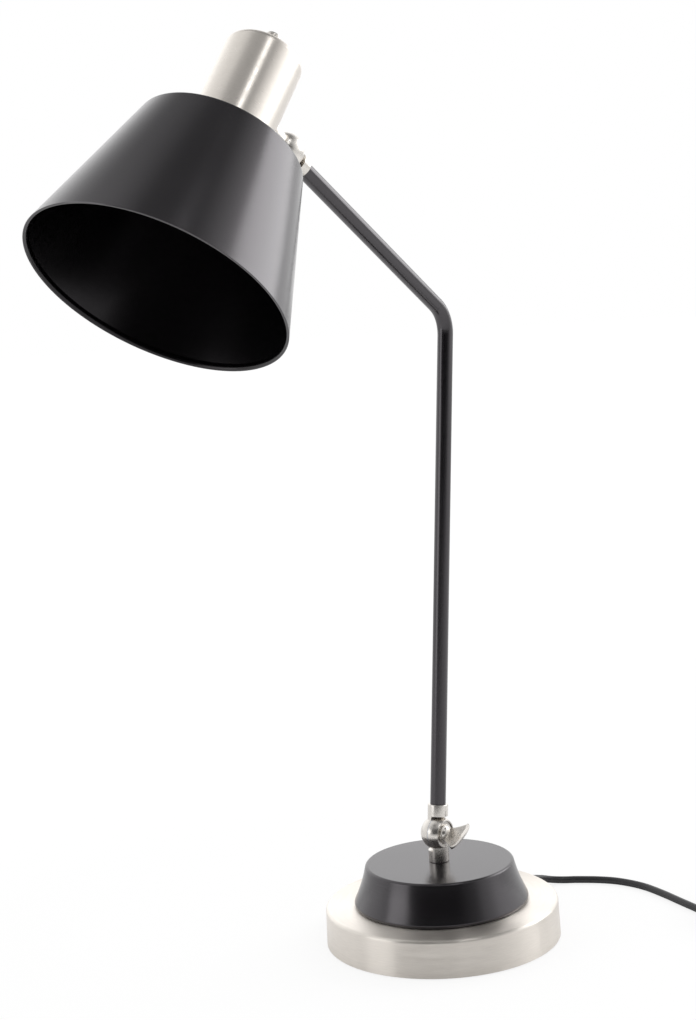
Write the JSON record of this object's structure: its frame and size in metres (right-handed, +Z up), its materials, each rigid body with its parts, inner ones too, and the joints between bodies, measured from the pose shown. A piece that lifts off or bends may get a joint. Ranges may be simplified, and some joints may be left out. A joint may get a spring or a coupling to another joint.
{
  "type": "desk lamp",
  "caption": "Adjustable desk lamp: round weighted base with a dome, ball swivels with wing screws on a bent tube, conical shade with a rotary switch, mains cord and plug.",
  "frame": {"origin": "centre of the base's underside, on the table", "axes": "+Z up; +X along both swivel screws; -Y is the side to which the arm bends and the shade points; +Y is the side where the cord leaves the base"},
  "size_m": [0.2813, 0.5306, 0.5604],
  "materials": {
    "brushed_nickel": "brushed",
    "polished_nickel": "polished",
    "satin_black_paint": "satin",
    "zinc_steel": "plated",
    "cast_weight": "as cast",
    "pad_foam": "matte",
    "cord_sheath": "satin",
    "relief_rubber": "matte",
    "tie_plastic": "matte",
    "plug_plastic": "satin",
    "holder_plastic": "semi-gloss",
    "contact_brass": "plain",
    "holder_ceramic": "glazed"
  },
  "bodies": {
    "base": {"base_cover": "brushed_nickel", "base_weight": "cast_weight", "base_pad": "pad_foam", "dome_cover": "satin_black_paint", "centre_rod": "zinc_steel", "rod_washer": "zinc_steel", "rod_nut": "zinc_steel", "lower_clevis": "polished_nickel", "lower_friction_washer": "zinc_steel", "cord_relief": "relief_rubber", "base_lead": "cord_sheath", "cord": "cord_sheath", "cord_coil": "cord_sheath", "cord_tail": "cord_sheath", "cord_tie": "tie_plastic", "plug_body": "plug_plastic", "plug_pins": "contact_brass"},
    "arm": {"lower_tongue": "polished_nickel", "arm_tube": "satin_black_paint", "arm_flex": "cord_sheath", "upper_clevis": "polished_nickel", "upper_friction_washer": "zinc_steel"},
    "lower_wing": {"lower_wing_screw": "polished_nickel"},
    "upper_wing": {"upper_wing_screw": "polished_nickel"},
    "head": {"upper_tongue": "polished_nickel", "saddle_washer": "polished_nickel", "side_nipple": "zinc_steel", "side_nut": "zinc_steel", "cup": "brushed_nickel", "holder_bracket": "zinc_steel", "holder_nipple": "zinc_steel", "holder_nut": "zinc_steel", "holder_body": "holder_plastic", "holder_shell": "contact_brass", "holder_core": "holder_ceramic", "centre_contact": "contact_brass", "shade": "satin_black_paint", "shade_ring": "holder_plastic", "switch_body": "holder_plastic", "switch_nut": "polished_nickel"},
    "knob": {"switch_knob": "polished_nickel"}
  },
  "joints": [
    {"name": "lower_swivel", "type": "hinge", "parent": "base", "child": "arm", "pos_m": [0, 0, 0.0684], "axis": [1, 0, 0], "range_deg": [-33, 47]},
    {"name": "upper_swivel", "type": "hinge", "parent": "arm", "child": "head", "pos_m": [0, -0.1023, 0.49443], "axis": [1, 0, 0], "range_deg": [-60, 60]},
    {"name": "lower_wing_turn", "type": "hinge", "parent": "base", "child": "lower_wing", "pos_m": [0.0136, 0, 0.0684], "axis": [1, 0, 0], "range_deg": [0, 360]},
    {"name": "upper_wing_turn", "type": "hinge", "parent": "arm", "child": "upper_wing", "pos_m": [-0.0168, -0.1023, 0.49443], "axis": [-1, 0, 0], "range_deg": [0, 360]},
    {"name": "switch_turn", "type": "hinge", "parent": "head", "child": "knob", "pos_m": [0, -0.10929, 0.55313], "axis": [0, 0.6053, 0.796], "continuous": true}
  ]
}
